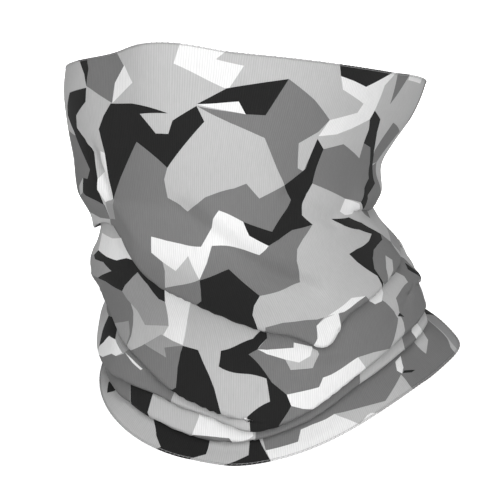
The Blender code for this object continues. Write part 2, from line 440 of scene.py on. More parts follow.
# ---- the print --------------------------------------------------------------------
# Patches are laid one over the other on the flat cloth, which is light grey where
# none lies: ink, then corners as round,down in millimetres.
BLACK, MID, GREY, LIGHT, WHITE = 0, 1, 2, 3, 4
PATCHES = (
    # face, left cheek and chin
    (MID, 237,57, 245,60, 252,73, 265,35, 287,39, 296,39, 303,14, 310,20, 317,26, 329,39, 325,48,
     326,53, 332,60, 345,56, 366,67, 363,55, 373,58, 383,70, 386,80, 378,88, 374,98, 360,96,
     330,84, 327,91, 325,106, 332,112.5, 323.5,123, 318.5,130.5, 316,139.5, 315,147.5, 313.5,159,
     310.5,159.5, 300,161, 290,162, 285.5,169, 283,176, 283,195, 240,176, 206,146, 206,120,
     211,104, 217,91, 224,78),
    (LIGHT, 178,0, 207,0, 207,18, 224,31, 218,46, 206,60, 194,40, 178,22),
    (MID, 206,0, 226,0, 232,11, 226,19, 224,31, 210,20, 207,18, 208,7),
    (BLACK, 195,0, 206,0, 208,7, 207,18, 205,10, 200,1),
    (WHITE, 232,10, 237,22, 224,31, 226,19),
    (WHITE, 257,0, 275,0, 271,6, 283,8, 278,23, 276,23, 255,12),
    (MID, 178,44, 194,50, 201,72, 197,78, 192,77, 184,82, 176,66),
    (MID, 190,86, 193,89, 204,93, 209,95, 211,104, 200,104, 185,100, 182,90),
    (LIGHT, 183,100, 200,104, 211,104, 206,120, 206,146, 186,140),
    (BLACK, 207,19, 190,20, 184,28, 182,34, 190,46, 194,56, 201,72, 197,78, 192,77, 190,86,
     193,89, 204,93, 209,95, 211,104, 206,86, 206,78, 205,69, 204,58, 202,52, 195,44, 196,36,
     206,28),
    (WHITE, 213,60, 216,61, 216,77, 217,90, 210,93, 205,85, 206,78, 209,74, 212,66),
    (GREY, 210,93, 218,90, 217,104, 211,104),
    (BLACK, 223,31, 236,34, 253,41, 240,41, 247,53, 253,53, 255,45, 265,35, 269,44, 252,73,
     237,57, 224,78, 217,91, 216,77, 216,61, 214,46, 218,38),
    (BLACK, 265,34, 277,23, 303,14, 296,39, 287,39, 283,31),
    (WHITE, 265,34, 283,31, 287,39),
    # face, middle
    (LIGHT, 265,35, 281,45, 298,54, 308,76, 313,86, 299,94, 292,84, 286,87, 271,90, 261,98,
     251,91, 250,80, 252,73, 269,44),
    (LIGHT, 329,39, 325,48, 316,57, 319,74, 323,76, 327,53),
    (BLACK, 326,53, 332,60, 330,84, 327,91, 325,106, 332,112.5, 318,116.5, 309,123, 302.5,126,
     293,118, 290.5,109, 306,117, 318,96, 313,86, 324,74),
    (BLACK, 326,0, 363,0, 345,13, 336,10, 328,8),
    (WHITE, 328,8, 336,10, 345,13, 363,0, 366,0, 359,10, 358,28, 357,36, 346,44, 337,49, 326,51,
     329,39, 345,32, 347,25, 331,17),
    (LIGHT, 326,51, 337,49, 346,44, 357,36, 361,44, 363,55, 366,67, 345,56, 332,60, 326,53),
    # face, right side and nape
    (LIGHT, 366,0, 410,0, 410,60, 392,74, 380,60, 371,45, 358,28, 359,10),
    (MID, 368,0, 381,0, 370,23),
    (WHITE, 381,0, 400,0, 399,4, 381,4),
    (MID, 384,36, 406,38, 400,52, 394,66, 386,70, 381,60),
    (MID, 386,72, 394,66, 410,84, 408,112, 396,124, 383,112, 382,104, 381,92, 395,80, 392,74),
    (BLACK, 358,29, 367,35, 371,45, 380,60, 392,74, 395,80, 381,92, 382,104, 374,98, 378,88,
     386,80, 383,70, 373,58, 363,55, 361,44, 357,36),
    (WHITE, 360,96, 373,99, 376,103, 369,109, 361,108, 356,105),
    (MID, 393,138.5, 402,150, 396,166, 380,176, 361,176, 362,160, 367,151, 373.5,145, 380,144,
     390,143.5),
    (LIGHT, 381,156, 384,163, 377,170, 366,175, 372,165),
    (BLACK, 350,110, 365,110.5, 378.5,120, 388,132, 393,138.5, 390,143.5, 380,144, 373.5,145,
     367,151, 362,160, 361,174, 358,180, 360,167, 356.5,159, 352.5,149, 350.5,140, 358.5,137.5,
     374.5,136, 382.5,133, 372,123.5, 358,116),
    # chin
    (LIGHT, 247.5,129, 253.5,134, 261,124, 264.5,139.5, 245.5,147.5, 247.7,135),
    (WHITE, 242,114, 250,116, 258,117, 268,119.5, 274,110, 275,104.5, 278,100, 290.5,109, 293,118,
     302.5,126, 297,132, 290,128, 283,125, 273.5,121, 270,130, 264.5,139.5, 261,124, 253.5,134,
     247.5,129, 242,123.5),
    (BLACK, 264.5,140, 268,139.5, 280,139, 290,162, 285.5,169, 283,176, 283,195, 262,195,
     255.5,161, 262,155, 263.5,147),
    (MID, 286.5,187, 295,185.5, 305,187.5, 311,189.5, 315,189, 309.5,194, 309,197, 308,203,
     304.5,209, 303,222, 285,222, 284,200),
    (WHITE, 309.5,194, 315,190, 323,187, 321,200, 318,212, 312,220, 303,220, 304.5,209, 308,203,
     309,197),
    (MID, 322.8,187.5, 326,187, 336,182, 343,179.5, 346,190, 335,205, 318,212, 321,200),
    (WHITE, 317,188.3, 326,182.5, 334,177.5, 343,179.5, 336,182, 326,187),
    # neck, left side
    (WHITE, 190,153, 205,154, 225,150, 248,165, 256,184, 243.5,184.5, 241.5,180.5, 237,173,
     230.5,166, 220,165, 212,168.5, 202,168.5, 190,167),
    (BLACK, 190,167, 202,168.5, 212,168.5, 220,165, 230.5,166, 237,173, 241.5,180.5, 243.5,184.5,
     241,197, 238,195, 236,190, 234,184, 231,178.5, 228.5,174.5, 224.5,178.5, 219,186, 216,192,
     204,189, 195,190, 209,178, 200,174, 189,176, 184,173),
    (GREY, 184,173, 189,176, 200,174, 209,178, 195,190, 176,192, 174,178),
    (MID, 176,192, 195,190, 204,189, 216,192, 219,199.5, 219,207, 217,216.5, 214.5,226, 209,240,
     205,262, 174,262),
    (GREY, 200,224, 214,215.5, 213.5,225, 208,243, 200,243, 193,240, 194,230),
    (BLACK, 186,262, 196,256, 200,268, 194,270, 188,279, 182,286),
    (GREY, 228.5,174.5, 231,178.5, 234,184, 236,190, 238,195, 241,197, 239,215, 225,215, 222,205,
     217.5,198, 216,192.5, 219,186, 224.5,178.5),
    (WHITE, 243.5,184.5, 256,184, 256,192, 253,200, 250,209, 245,227, 240,225, 235,221.5, 239,215,
     241,197),
    (GREY, 223.5,228, 234,221, 240,225, 245,227.5, 235,229.5, 236,235.5),
    (MID, 209,240, 223.5,228, 236,235.5, 235,229.5, 245,227.5, 243.5,232, 242,241, 241.5,253,
     238,258, 214,258),
    (BLACK, 245,227.5, 252.5,229, 254.5,235.5, 257.5,243.5, 260,251.5, 263.5,268, 266,284,
     240,265, 238,256, 241.5,253, 242,241, 243.5,232),
    # neck, middle and right side
    (MID, 276,243, 280.5,243, 286,237, 286.5,233, 288,215, 345,215, 345,228, 354,236.5, 358.5,243,
     363.5,253, 366.5,259.5, 362.5,265, 358.5,270.5, 354.5,275, 341.5,270.5, 331,268, 315,270.5,
     310.5,270.5, 308,276, 292.5,276.5, 286,267, 280,252),
    (BLACK, 263.5,230, 279.5,234.5, 285,230, 284,215, 288,215, 286.5,233, 286,237, 281.5,241.5,
     280.5,243, 276,243, 280,252, 286,267, 292.5,276.5, 294.5,284.5, 293,288, 289.5,295, 288,305,
     277,305, 276,290, 275,281, 285,279, 283.5,263.5, 280,260, 262,239),
    (WHITE, 280.5,243, 284.5,245, 297,246.5, 297.5,243, 306,248, 306,251, 304.5,254, 299,257,
     292.5,253.5, 284.5,248),
    (LIGHT, 292.5,253.5, 299,257, 304.5,254, 306,249, 308.5,251.5, 309,254, 306,262.5, 295,261),
    (WHITE, 345,210, 362,210, 363,228, 361,236, 356,241, 350,240, 345,232),
    (MID, 384,205, 402,205, 410,240, 408,262, 400,285, 385,300, 364,300, 364,279, 370,270,
     370.5,265, 369.5,258, 369,252, 369.5,246, 390,242, 390,237, 384,230),
    (BLACK, 366.5,258, 369.5,257, 373,262),
    (BLACK, 402,226, 407,236, 404,240, 399,232),
    (GREY, 402,240, 412,236, 416,262, 410,285, 401,285, 406,262),
    (BLACK, 407,238, 415,262, 411,262, 403,245),
    # lower folds
    (GREY, 196,256, 216,256, 211,271, 207,272, 200,268),
    (WHITE, 194,270, 200,268, 207,272, 203,277, 199.5,278, 190,287, 178,294, 182,286, 188,279),
    (MID, 174,296, 190,287, 199.5,278, 203,277, 208,272, 215,258, 243,258, 239,284, 236.5,292,
     235,308, 174,308),
    (WHITE, 209,270.5, 214,272, 220.5,275, 219.5,276.2, 214,274),
    (WHITE, 292.5,276.5, 308,276, 310.5,270.5, 315,270.5, 331,268, 337.5,282, 345,300, 320,300,
     305,290, 300,288, 294.5,284.5),
    (MID, 294.5,284.5, 300,288, 305,290, 320,300, 334.5,306, 335,346, 279,346, 279,310, 288,305,
     289.5,295, 293,288),
    (MID, 180,308, 210.5,308, 210.5,346, 180,346),
    (BLACK, 210.5,312, 226,312, 225,320, 222.5,332, 224,337, 225,346, 211,346),
    (WHITE, 252,310, 276,316, 278,332, 276,334, 268,337, 266.5,334, 248,337, 251,326),
    (MID, 248,337, 266.5,334, 268,337, 268,344, 248,344),
    (MID, 372,300, 386,300, 383,313, 387,322, 380,330, 376,325, 372,318),
    (WHITE, 383,313, 390,308, 394,321, 387,323),
    # hem
    (BLACK, 181,356, 192,366, 186,375, 180,372),
    (BLACK, 221.5,352, 255,352, 256,363, 256,374.5, 249.5,380, 232,380, 233.5,378, 228.5,372,
     221.5,360),
    (MID, 279.5,346, 430,346, 416,363, 409,371, 404,375, 402,380, 364.5,380, 364.5,366,
     347.5,375.5, 319.5,363, 314.5,363.5, 307,363, 301,363.5, 299,371.5, 284,371.5),
    (BLACK, 276.5,350, 279.5,350, 280,360, 286,380, 265.5,380, 276,373),
    (WHITE, 284,371.5, 299,371.5, 301,363.5, 307,363, 314.5,363.5, 319.5,363, 330,380, 286,380),
    (WHITE, 330,380, 335,377, 337.5,377, 341,380),
    (GREY, 405,380, 408,374, 413,368, 420,360, 432,356, 438,380),
    # Painted shade: this black strip along the back hem's edge stands for the shade at the edge,
    # not for print
    (BLACK, 424,346, 450,346, 450,380, 438,380, 427,364),
    (WHITE, 366,356, 372,355, 369,363, 365.5,366, 364,362),
    (BLACK, 368,365, 374.5,369.5, 371,369.5, 366,366),
    (LIGHT, 388,354, 400,354, 398,361, 389,366),
    # back, left half of the panel
    (MID, 0,0, 34,0, 46,26, 30,44, 40,62, 18,74, 0,66),
    (BLACK, 34,0, 72,0, 64,22, 46,26),
    (WHITE, 72,0, 96,0, 88,18, 64,22),
    (MID, 96,0, 138,0, 150,20, 128,40, 104,34, 88,18),
    (BLACK, 150,20, 178,22, 170,44, 148,52, 128,40),
    (BLACK, 30,44, 46,26, 70,50, 60,84, 40,62),
    (GREY, 70,50, 104,34, 112,60, 86,74),
    (WHITE, 112,60, 148,52, 140,74, 118,84),
    (MID, 140,74, 176,66, 184,82, 182,104, 150,118, 126,102),
    (BLACK, 86,74, 112,60, 118,84, 126,102, 104,124, 92,100),
    (MID, 0,92, 26,84, 60,84, 74,112, 44,132, 20,118, 0,128),
    (WHITE, 20,118, 44,132, 40,150, 8,150, 0,142, 0,128),
    (BLACK, 44,132, 74,112, 92,136, 78,162, 52,158, 40,150),
    (GREY, 150,118, 186,112, 186,142, 160,150, 140,136),
    (MID, 92,136, 104,124, 140,136, 128,166, 100,176, 78,162),
    (BLACK, 128,166, 160,150, 172,172, 150,196, 132,190),
    (MID, 0,168, 30,160, 52,176, 44,204, 16,214, 0,204),
    (WHITE, 52,176, 78,162, 100,176, 88,196, 60,206, 44,204),
    (BLACK, 60,206, 88,196, 108,214, 96,240, 74,236),
    (GREY, 108,214, 132,190, 150,196, 156,222, 130,240),
    (MID, 156,222, 174,200, 174,262, 150,262, 130,240),
    (BLACK, 0,232, 24,226, 46,244, 34,270, 10,264, 0,272),
    (MID, 46,244, 74,236, 96,240, 90,270, 62,284, 34,270),
    (WHITE, 96,240, 130,240, 124,262, 90,270),
    (BLACK, 124,262, 150,262, 162,288, 138,304, 112,290),
    (GREY, 62,284, 90,270, 112,290, 96,316, 70,308),
    (MID, 0,290, 34,286, 70,308, 58,334, 22,340, 0,326),
    (BLACK, 96,316, 138,304, 150,328, 122,346, 100,340),
    (MID, 150,328, 180,310, 180,352, 156,358, 122,346),
    (WHITE, 58,334, 100,340, 94,358, 66,360),
    (BLACK, 22,340, 58,334, 66,360, 56,380, 20,380, 10,360),
    (MID, 94,358, 122,346, 156,358, 150,380, 98,380),
    # back, right half of the panel
    (MID, 410,0, 446,0, 452,22, 430,38, 410,30),
    (BLACK, 446,0, 478,0, 470,20, 484,40, 462,48, 452,22),
    (WHITE, 478,0, 500,0, 500,18, 470,20),
    (MID, 484,40, 500,34, 500,66, 482,78, 462,64, 462,48),
    (BLACK, 410,60, 430,38, 448,60, 440,88, 418,84),
    (WHITE, 448,60, 462,64, 482,78, 470,96, 440,88),
    (MID, 418,84, 440,88, 470,96, 462,122, 434,130, 412,112),
    (BLACK, 470,96, 500,92, 500,128, 480,134, 462,122),
    (GREY, 402,150, 434,130, 448,150, 430,172, 404,170),
    (MID, 448,150, 480,134, 500,142, 500,168, 476,182, 452,176),
    (BLACK, 430,172, 452,176, 476,182, 464,206, 438,204),
    (WHITE, 402,180, 430,172, 438,204, 420,214, 404,206),
    (MID, 420,214, 438,204, 464,206, 472,232, 446,250, 424,240),
    (BLACK, 472,232, 500,204, 500,232, 492,252),
    (GREY, 472,232, 492,252, 480,276, 456,272, 446,250),
    (BLACK, 418,266, 446,250, 456,272, 444,300, 422,292),
    (WHITE, 480,276, 500,272, 500,290, 486,300, 470,292),
    (MID, 444,300, 470,292, 486,300, 500,326, 478,346, 450,334),
    (BLACK, 410,316, 444,300, 450,334, 430,346, 412,338),
    (WHITE, 430,346, 450,334, 478,346, 470,362, 444,366),
    (BLACK, 478,346, 500,326, 500,360, 510,380, 468,380, 470,362),
)

CLOTH_STEP = 2.3         # spacing of the mesh round the cloth
ROW_STEP = CLOTH_STEP * 0.94
EDGE_STEP = 2.5          # spacing along a patch's edge
EDGE_ROOM = CLOTH_STEP * 0.45    # mesh points keep this far off a patch's edge
SIDE_ROOM = 0.3 * CLOTH_STEP     # and this far off the panel's sides
MERGE = 0.02             # points nearer than this are one
SIDE_WITHIN = 0.01       # points this near a side of the panel are sewn together
SIDES_MEET = 0.00002     # where the sides meet, in metres
SLIVER = 1e-6            # faces thinner than this, in metres, are dropped


def inside(points, corners):
    """Which points lie in the polygon."""
    x, y = points[:, 0], points[:, 1]
    hit = np.zeros(len(points), bool)
    for (x0, y0), (x1, y1) in zip(corners, corners[1:] + corners[:1]):
        if y0 == y1:
            continue
        crosses = (y0 > y) != (y1 > y)
        hit ^= crosses & (x < (x1 - x0) * (y - y0) / (y1 - y0) + x0)
    return hit


def edge_distance(points, corners):
    """How far each point lies from the polygon's edge."""
    nearest = np.full(len(points), 1e9)
    for (x0, y0), (x1, y1) in zip(corners, corners[1:] + corners[:1]):
        dx, dy = x1 - x0, y1 - y0
        f = ((points[:, 0] - x0) * dx + (points[:, 1] - y0) * dy) / max(dx * dx + dy * dy, 1e-9)
        f = np.clip(f, 0, 1)
        nearest = np.minimum(
            nearest, np.hypot(points[:, 0] - x0 - f * dx, points[:, 1] - y0 - f * dy)
        )
    return nearest


def clipped(numbers):
    """A patch's corners, kept on the panel."""
    return [
        (min(max(x, 0.0), FLAT_ROUND), min(max(y, 0.0), FLAT_LENGTH))
        for x, y in zip(numbers[::2], numbers[1::2])
    ]


def cut_cloth():
    """Flat mesh of the panel whose edges follow the print: points, faces, inks."""
    rows = int(FLAT_LENGTH / ROW_STEP)
    columns = int(FLAT_ROUND / CLOTH_STEP)
    grid = []
    for r in range(rows + 1):
        y = FLAT_LENGTH * r / rows
        shift = 0.5 * (r % 2)
        row = [(0.0, y)]
        for c in range(columns + 1):
            x = FLAT_ROUND * (c + shift) / columns
            if SIDE_ROOM < x < FLAT_ROUND - SIDE_ROOM:
                row.append((x, y))
        row.append((FLAT_ROUND, y))
        grid.extend(row)
    grid = np.array(grid)
    patches = [(ink, clipped(numbers)) for ink, *numbers in PATCHES]
    border = (
        (grid[:, 0] <= 0) | (grid[:, 0] >= FLAT_ROUND)
        | (grid[:, 1] <= 0) | (grid[:, 1] >= FLAT_LENGTH)
    )
    keep = np.ones(len(grid), bool)
    for ink, corners in patches:
        keep &= border | (edge_distance(grid, corners) > EDGE_ROOM)
    grid = grid[keep]
    points = [Vector(p) for p in grid]
    edges = []
    outline = [(0, 0), (FLAT_ROUND, 0), (FLAT_ROUND, FLAT_LENGTH), (0, FLAT_LENGTH)]
    for corners in [outline] + [corners for ink, corners in patches]:
        chain = []
        for (x0, y0), (x1, y1) in zip(corners, corners[1:] + corners[:1]):
            pieces = max(1, round(math.hypot(x1 - x0, y1 - y0) / EDGE_STEP))
            if corners is outline:
                pieces = 1
            for k in range(pieces):
                chain.append((x0 + (x1 - x0) * k / pieces, y0 + (y1 - y0) * k / pieces))
        first = len(points)
        points.extend(Vector(p) for p in chain)
        edges.extend((first + k, first + (k + 1) % len(chain)) for k in range(len(chain)))
    made = geometry.delaunay_2d_cdt(points, edges, [], 0, MERGE, False)
    flat = np.array([tuple(p) for p in made[0]])
    faces = [tuple(f) for f in made[2]]
    middles = np.array([flat[list(f)].mean(axis=0) for f in faces])
    inks = np.full(len(faces), LIGHT)
    for ink, corners in patches:
        inks[inside(middles, corners)] = ink
    return flat, faces, inks


# ---- shaders -----------------------------------------------------------------------
class Wire:
    """A shader value that can be used in sums."""

    def __init__(self, shader, socket):
        self.shader = shader
        self.socket = socket

    def maths(self, operation, *values):
        values = dict(enumerate(values))
        return self.shader.node("ShaderNodeMath", {"operation": operation}, values)

    def __add__(self, other):
        return self.maths("ADD", self, other)

    def __sub__(self, other):
        return self.maths("SUBTRACT", self, other)

    def __rsub__(self, other):
        return self.maths("SUBTRACT", other, self)

    def __mul__(self, other):
        return self.maths("MULTIPLY", self, other)

    def __truediv__(self, other):
        return self.maths("DIVIDE", self, other)

    __radd__ = __add__
    __rmul__ = __mul__

    def sine(self):
        return self.maths("SINE", self)

    def held(self):
        """Kept between 0 and 1."""
        return self.maths("MINIMUM", self.maths("MAXIMUM", self, 0.0), 1.0)


class Shader:
    """A material and its nodes."""

    def __init__(self, name):
        self.material = bpy.data.materials.new(name)
        self.material.use_nodes = True
        self.tree = self.material.node_tree
        self.surface = self.tree.nodes["Principled BSDF"]

    def node(self, kind, settings=None, values=None, output=0):
        made = self.tree.nodes.new(kind)
        for key, value in (settings or {}).items():
            if key == "stops":
                ramp = made.color_ramp
                while len(ramp.elements) < len(value):
                    ramp.elements.new(0.5)
                for element, (place, colour) in zip(ramp.elements, value):
                    element.position = place
                    element.color = (*colour, 1.0)
            elif key == "interpolation" and kind == "ShaderNodeValToRGB":
                made.color_ramp.interpolation = value
            else:
                setattr(made, key, value)
        for key, value in (values or {}).items():
            self.put(made.inputs[key], value)
        return Wire(self, made.outputs[output])

    def put(self, socket, value):
        if isinstance(value, Wire):
            self.tree.links.new(value.socket, socket)
        else:
            socket.default_value = value

    def set(self, **values):
        for key, value in values.items():
            self.put(self.surface.inputs[key.replace("_", " ")], value)

    def grey(self, value):
        return self.node("ShaderNodeCombineColor", {}, {0: value, 1: value, 2: value})

    def bump(self, strength, distance, height):
        return self.node(
            "ShaderNodeBump", {},
            {"Strength": strength, "Distance": distance, "Height": height},
        )

    def cloth_place(self):
        """Cloth coordinates in millimetres: round and down."""
        uv = self.node("ShaderNodeUVMap", {"uv_map": "cloth"})
        parts = self.node("ShaderNodeSeparateXYZ", {}, {0: uv})
        down = Wire(self, parts.socket.node.outputs[1])
        return parts * FLAT_ROUND, down * FLAT_LENGTH

    def noise(self, vector, scale, detail, rough=0.5):
        return self.node(
            "ShaderNodeTexNoise", {},
            {"Vector": vector, "Scale": scale, "Detail": detail, "Roughness": rough},
        )


LOOP_PITCH = 0.75        # knit loops along a rib, in millimetres
WANDER_SCALE = 0.22      # noise scales, per millimetre of cloth
STREAK_SCALE = 0.9
CLOUD_SCALE = 0.035
WANDER_LENGTH = 0.12     # noises drawn out along the ribs
STREAK_LENGTH = 0.16
TWIST_SCALE = 2600.0     # per metre of thread
PLY_SCALE = 420.0
KNIT_RELIEF = 0.00012    # height of the knit's relief
THREAD_RELIEF = 0.00005
INK_STEP = 0.2           # one ink's share of the ink ramp


def knit_surface(shader, round_mm, down_mm, wale):
    """Ribs of knit loops standing side by side, the loops, and the yarn's streaks."""
    place = shader.node("ShaderNodeCombineXYZ", {}, {0: round_mm, 1: down_mm * WANDER_LENGTH})
    wander = shader.noise(place, WANDER_SCALE, 2.0) - 0.5
    ribs = ((round_mm + wander * 1.1) * (TAU / wale)).sine()
    loops = (down_mm * (TAU / LOOP_PITCH) + ribs * 1.2).sine()
    drawn = shader.node("ShaderNodeCombineXYZ", {}, {0: round_mm, 1: down_mm * STREAK_LENGTH})
    streak = shader.noise(drawn, STREAK_SCALE, 3.0, 0.6) - 0.5
    return ribs, loops, streak


def printed_knit(cloth):
    shader = Shader("printed_knit")
    round_mm, down_mm = shader.cloth_place()
    ink = shader.node("ShaderNodeAttribute", {"attribute_name": "ink"}, {}, 2)
    tones = [cloth.black, cloth.mid_grey, cloth.grey, cloth.light_grey, cloth.white]
    colour = shader.node(
        "ShaderNodeValToRGB",
        {"interpolation": "CONSTANT",
         "stops": [(INK_STEP * place, (tone,) * 3) for place, tone in enumerate(tones)]},
        {0: ink * INK_STEP + INK_STEP / 2},
    )
    ribs, loops, streak = knit_surface(shader, round_mm, down_mm, cloth.wale)
    flat = shader.node("ShaderNodeCombineXYZ", {}, {0: round_mm, 1: down_mm})
    cloudy = shader.noise(flat, CLOUD_SCALE, 2.0) - 0.5
    # Painted shade: the colour is darkened in the valleys between the ribs. The streaks and
    # clouds are the yarn's own uneven tone.
    valley = (1 - ribs) * 0.5
    shade = 1 + streak * 0.16 + cloudy * 0.05 - valley * cloth.painted_rib_shade
    toned = shader.node(
        "ShaderNodeVectorMath", {"operation": "SCALE"}, {0: colour, 3: shade}
    )
    shader.set(
        Base_Color=toned, Roughness=0.86 + valley * 0.08,
        Normal=shader.bump(0.35, KNIT_RELIEF, ribs * 0.5 + loops * 0.18 + streak * 0.5),
        Specular_IOR_Level=0.12, Sheen_Weight=0.03, Sheen_Roughness=0.5,
    )
    return shader.material


def bare_knit(cloth):
    """The reverse: white yarn with the print faintly showing through, and painted shade between
    the ribs.
    """
    shader = Shader("knit_reverse")
    round_mm, down_mm = shader.cloth_place()
    ink = shader.node("ShaderNodeAttribute", {"attribute_name": "ink"}, {}, 2)
    ribs, loops, streak = knit_surface(shader, round_mm, down_mm, cloth.wale)
    # Painted shade: the rib tops are a little lighter and the valleys between them darker. The
    # ink term is the print showing through.
    print_ghost_and_rib_shade = ink * 0.035 + 0.56 + streak * 0.06 + ribs * 0.03
    shader.set(
        Base_Color=shader.grey(print_ghost_and_rib_shade), Roughness=0.9 + streak * 0.04,
        Normal=shader.bump(0.4, KNIT_RELIEF, loops * 0.5 + ribs * 0.25),
        Specular_IOR_Level=0.2, Sheen_Weight=0.1,
    )
    return shader.material


def thread(name, tone):
    """Twisted polyester sewing thread."""
    shader = Shader(name)
    place = shader.node("ShaderNodeTexCoord", {}, {}, 3)
    twist = shader.noise(place, TWIST_SCALE, 2.0, 0.6) - 0.5
    ply = shader.noise(place, PLY_SCALE, 1.0) - 0.5
    value = tone + twist * 0.18 * tone + ply * 0.1 * tone
    shader.set(
        Base_Color=shader.grey(value), Roughness=0.6 + twist * 0.1,
        Normal=shader.bump(0.4, THREAD_RELIEF, twist), Sheen_Weight=0.1,
    )
    return shader.material


# ---- meshes ------------------------------------------------------------------------
THREAD_SIDES = 5
LOOP_STEPS = 12          # points round one overlock loop
EDGE_WITHIN = 0.012      # share of the cloth's length used to find its way at an edge
SEAM_STEPS = 4           # points in one flatlock stitch
SEAM_ENDS = (0.006, 0.994)
LOOP_SQUARENESS = 0.6    # 1 is a round loop, less is squarer
CHAIN_EVERY = 3          # the needle line uses every third point
made_grids = {}


def grid():
    """The worn cloth's grid, worked out once."""
    if "worn" not in made_grids:
        made_grids["worn"] = worn_grid()
    return made_grids["worn"]


def link(ob):
    bpy.context.scene.collection.objects.link(ob)
    return ob


def cloth_object(cloth):
    """The cut panel laid on the worn grid and sewn into a tube."""
    flat, faces, inks = cut_cloth()
    u = flat[:, 0] / FLAT_ROUND
    v = flat[:, 1] / FLAT_LENGTH
    worn = at_cloth(grid(), u, v) * MM
    mesh = bpy.data.meshes.new("knit_tube")
    mesh.from_pydata([tuple(p) for p in worn], [], faces)
    layer = mesh.uv_layers.new(name="cloth")
    corner = np.empty(len(mesh.loops), dtype=np.int32)
    mesh.loops.foreach_get("vertex_index", corner)
    uv = np.stack([u[corner], v[corner]], axis=1).astype(np.float32)
    layer.data.foreach_set("uv", uv.ravel())
    ink = mesh.attributes.new("ink", "FLOAT", "FACE")
    ink.data.foreach_set("value", inks.astype(np.float32))
    work = bmesh.new()
    work.from_mesh(mesh)
    seam = [
        vert for vert in work.verts
        if not SIDE_WITHIN <= flat[vert.index, 0] <= FLAT_ROUND - SIDE_WITHIN
    ]
    bmesh.ops.remove_doubles(work, verts=seam, dist=SIDES_MEET)
    bmesh.ops.dissolve_degenerate(work, dist=SLIVER, edges=work.edges)
    bmesh.ops.recalc_face_normals(work, faces=work.faces)
    work.to_mesh(mesh)
    work.free()
    mesh.polygons.foreach_set("use_smooth", [True] * len(mesh.polygons))
    ob = link(bpy.data.objects.new("knit_tube", mesh))
    outward = sum(
        face.area * face.normal.dot(Vector((face.center.x, face.center.y, 0)).normalized())
        for face in mesh.polygons
    )
    if outward < 0:
        mesh.flip_normals()
    mesh.materials.append(printed_knit(cloth))
    mesh.materials.append(bare_knit(cloth))
    solid = ob.modifiers.new("thickness", "SOLIDIFY")
    solid.thickness = cloth.thickness
    solid.offset = -1.0
    solid.material_offset = 1
    return ob


def tube_along(points, radius, closed):
    """Points and faces of a thread following the points."""
    sides = THREAD_SIDES
    points = np.asarray(points, float)
    count = len(points)
    if closed:
        ahead = np.roll(points, -1, axis=0) - np.roll(points, 1, axis=0)
    else:
        ahead = np.gradient(points, axis=0)
    ahead /= np.maximum(np.linalg.norm(ahead, axis=1, keepdims=True), 1e-12)
    guide = np.array([0.0, 0.0, 1.0])
    side = np.cross(ahead, guide)
    weak = np.linalg.norm(side, axis=1) < 0.1
    side[weak] = np.cross(ahead[weak], [1.0, 0.0, 0.0])
    side /= np.linalg.norm(side, axis=1, keepdims=True)
    for k in range(1, count):
        carried = side[k - 1] - ahead[k] * side[k - 1].dot(ahead[k])
        length = np.linalg.norm(carried)
        if length > 1e-6:
            side[k] = carried / length
    up = np.cross(ahead, side)
    turns = np.arange(sides) * TAU / sides
    rings = (
        points[:, None, :]
        + radius * np.cos(turns)[None, :, None] * side[:, None, :]
        + radius * np.sin(turns)[None, :, None] * up[:, None, :]
    )
    verts = rings.reshape(-1, 3)
    faces = []
    last = count if closed else count - 1
    for k in range(last):
        m = (k + 1) % count
        for s in range(sides):
            n = (s + 1) % sides
            faces.append((k * sides + s, k * sides + n, m * sides + n, m * sides + s))
    if not closed:
        faces.append(tuple(range(sides))[::-1])
        faces.append(tuple((count - 1) * sides + s for s in range(sides)))
    return verts, faces


def thread_object(name, strands, material):
    """One piece of sewn threads; a strand is its points, radius and closed or not."""
    verts, faces = [], []
    for points, radius, closed in strands:
        first = sum(len(v) for v in verts)
        v, f = tube_along(points, radius, closed)
        verts.append(v)
        faces.extend(tuple(first + i for i in face) for face in f)
    mesh = bpy.data.meshes.new(name)
    mesh.from_pydata([tuple(p) for p in np.concatenate(verts)], [], faces)
    mesh.polygons.foreach_set("use_smooth", [True] * len(mesh.polygons))
    work = bmesh.new()
    work.from_mesh(mesh)
    bmesh.ops.recalc_face_normals(work, faces=work.faces)
    work.to_mesh(mesh)
    work.free()
    mesh.materials.append(material)
    return link(bpy.data.objects.new(name, mesh))


def edge_frame(v, count):
    """Edge points, the outward direction and the way off the cloth."""
    u = np.linspace(0, 1, count, endpoint=False)
    edge = at_cloth(grid(), u, np.full(count, v)) * MM
    step = EDGE_WITHIN if v == 0 else -EDGE_WITHIN
    within = at_cloth(grid(), u, np.full(count, v + step)) * MM
    off = edge - within
    off /= np.linalg.norm(off, axis=1, keepdims=True)
    along = np.roll(edge, -1, axis=0) - np.roll(edge, 1, axis=0)
    along /= np.linalg.norm(along, axis=1, keepdims=True)
    out = np.cross(along, off)
    out /= np.linalg.norm(out, axis=1, keepdims=True)
    lean = (out[:, :2] * (edge[:, :2] - edge[:, :2].mean(axis=0))).sum(axis=1)
    out[lean < 0] *= -1
    return edge, out, off


def edge_stitches(v, threads, cloth):
    """Overlock loops that wrap an edge, and the needle line inside it."""
    edge, out, off = edge_frame(v, threads.edge_loops * LOOP_STEPS)
    turn = np.arange(len(edge)) * (TAU / LOOP_STEPS)
    depth = threads.edge_depth
    half = cloth.thickness / 2 + threads.radius
    across = np.cos(turn) * (depth / 2 + threads.radius)
    middle = edge - out * (cloth.thickness / 2)
    loop = (
        middle
        + out * (half * power(np.sin(turn), LOOP_SQUARENESS))[:, None]
        + off * (across - depth / 2 + threads.radius)[:, None]
    )
    chain = middle + out * half + off * (-depth)
    return [(loop, threads.radius, True), (chain[::CHAIN_EVERY], threads.radius, True)]


